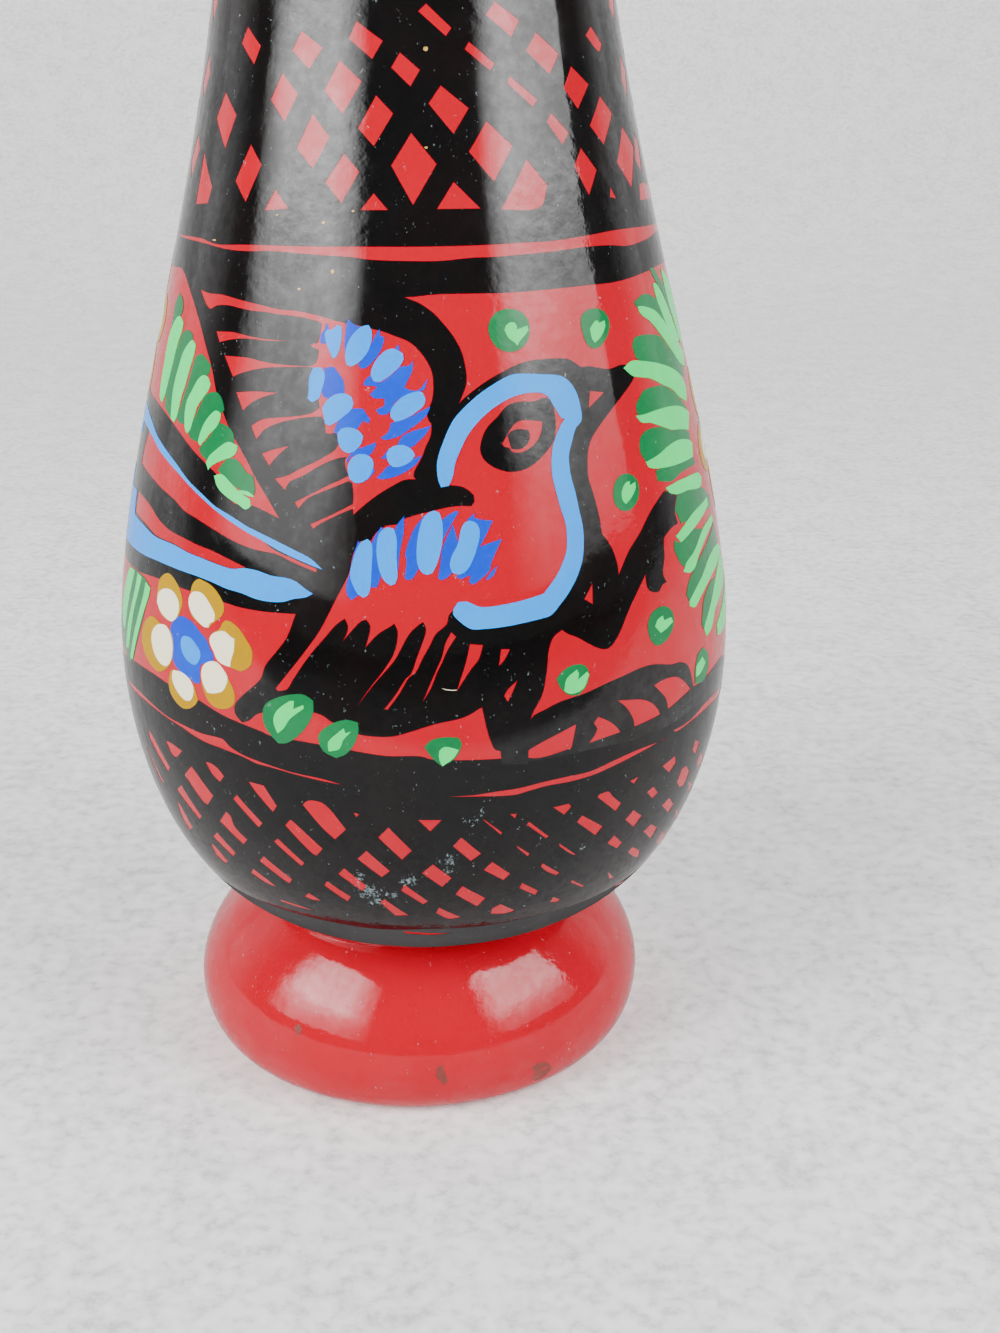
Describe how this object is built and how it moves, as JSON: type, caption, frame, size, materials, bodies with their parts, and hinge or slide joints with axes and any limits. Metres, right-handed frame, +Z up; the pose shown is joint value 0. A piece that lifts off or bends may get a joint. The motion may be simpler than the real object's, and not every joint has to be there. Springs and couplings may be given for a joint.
{
  "type": "clay vase",
  "caption": "Hand-painted clay vase: a pear-shaped body on a rounded foot ring, with a long narrowing neck and a flared mouth, for cut or dried flowers.",
  "frame": {"origin": "centre of the body, on the plane that the foot ring rests on", "axes": "+Z up along the body's axis, -Y towards the painted front, +X to the right of the bird's beak as seen from the front"},
  "size_m": [0.115, 0.115, 0.28],
  "materials": {
    "red_enamel": "gloss",
    "black_enamel": "gloss",
    "pale_slip": "matte",
    "terracotta": "matte",
    "deep_blue_paint": "gloss",
    "light_blue_paint": "gloss",
    "deep_green_paint": "gloss",
    "light_green_paint": "gloss",
    "yellow_paint": "gloss",
    "cream_paint": "gloss"
  },
  "bodies": {
    "root": {"foot_ring": "red_enamel", "foot_slip": "pale_slip", "lower_bowl": "black_enamel", "belly_slip": "pale_slip", "upper_bowl": "red_enamel", "neck_slip": "pale_slip", "neck_tube": "black_enamel", "lip_slip": "pale_slip", "lip_ring": "red_enamel"}
  },
  "joints": []
}
